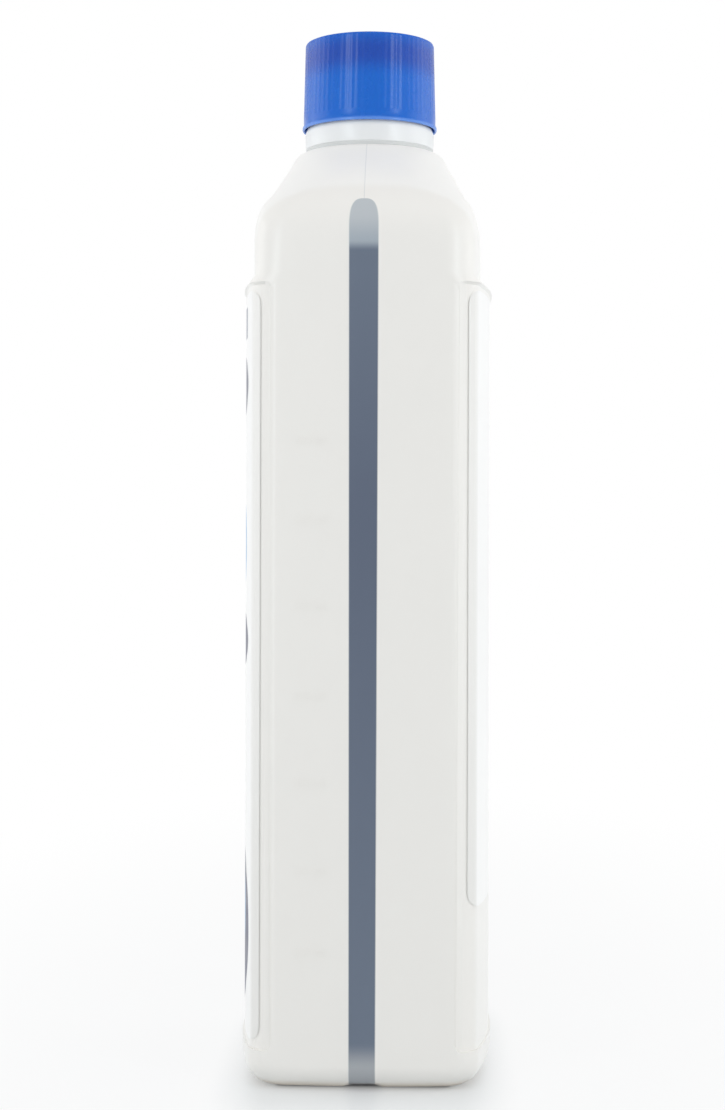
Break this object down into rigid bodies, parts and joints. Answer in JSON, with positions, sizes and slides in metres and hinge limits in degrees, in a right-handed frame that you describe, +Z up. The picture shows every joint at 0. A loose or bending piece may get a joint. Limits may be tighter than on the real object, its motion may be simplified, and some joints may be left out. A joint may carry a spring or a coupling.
{
  "type": "detergent bottle",
  "caption": "Flat-sided blow-moulded bottle for liquid detergent, with a clear level strip, recessed label panels and a push-and-turn screw closure.",
  "frame": {"origin": "middle of the base, at the height of the ring it stands on", "axes": "+Z up along the bottle, X along its width with the clear level strip on the +X side, Y along its depth with the front label on the -Y side"},
  "size_m": [0.084, 0.066, 0.2715],
  "materials": {
    "bottle_wall": "satin",
    "label_film": "gloss",
    "ring_plastic": "satin",
    "inner_plastic": "matt",
    "seal_foam": "matt",
    "shell_plastic": "gloss"
  },
  "bodies": {
    "bottle": {"bottle": "bottle_wall", "front_label": "label_film", "back_label": "label_film", "tamper_ring": "ring_plastic"},
    "seal": {"seal_disc": "seal_foam"},
    "inner_cap": {"inner_cap": "inner_plastic"},
    "shell": {"cap_shell": "shell_plastic"}
  },
  "joints": [
    {"name": "cap_lift", "type": "slide", "parent": "bottle", "child": "seal", "axis": [0, 0, 1], "range_m": [0, 0.00495]},
    {"name": "cap_turn", "type": "hinge", "parent": "seal", "child": "inner_cap", "pos_m": [0, 0, 0.25], "axis": [0, 0, 1], "range_deg": [0, 420]},
    {"name": "cap_push", "type": "slide", "parent": "inner_cap", "child": "shell", "axis": [0, 0, 1], "range_m": [-0.0012, 0], "stiffness_N_per_m": 3000, "springref_m": 0.0005}
  ],
  "couplings": [
    {"joint": "cap_lift", "follows": "cap_turn", "m_per_rad": 0.0006737}
  ]
}
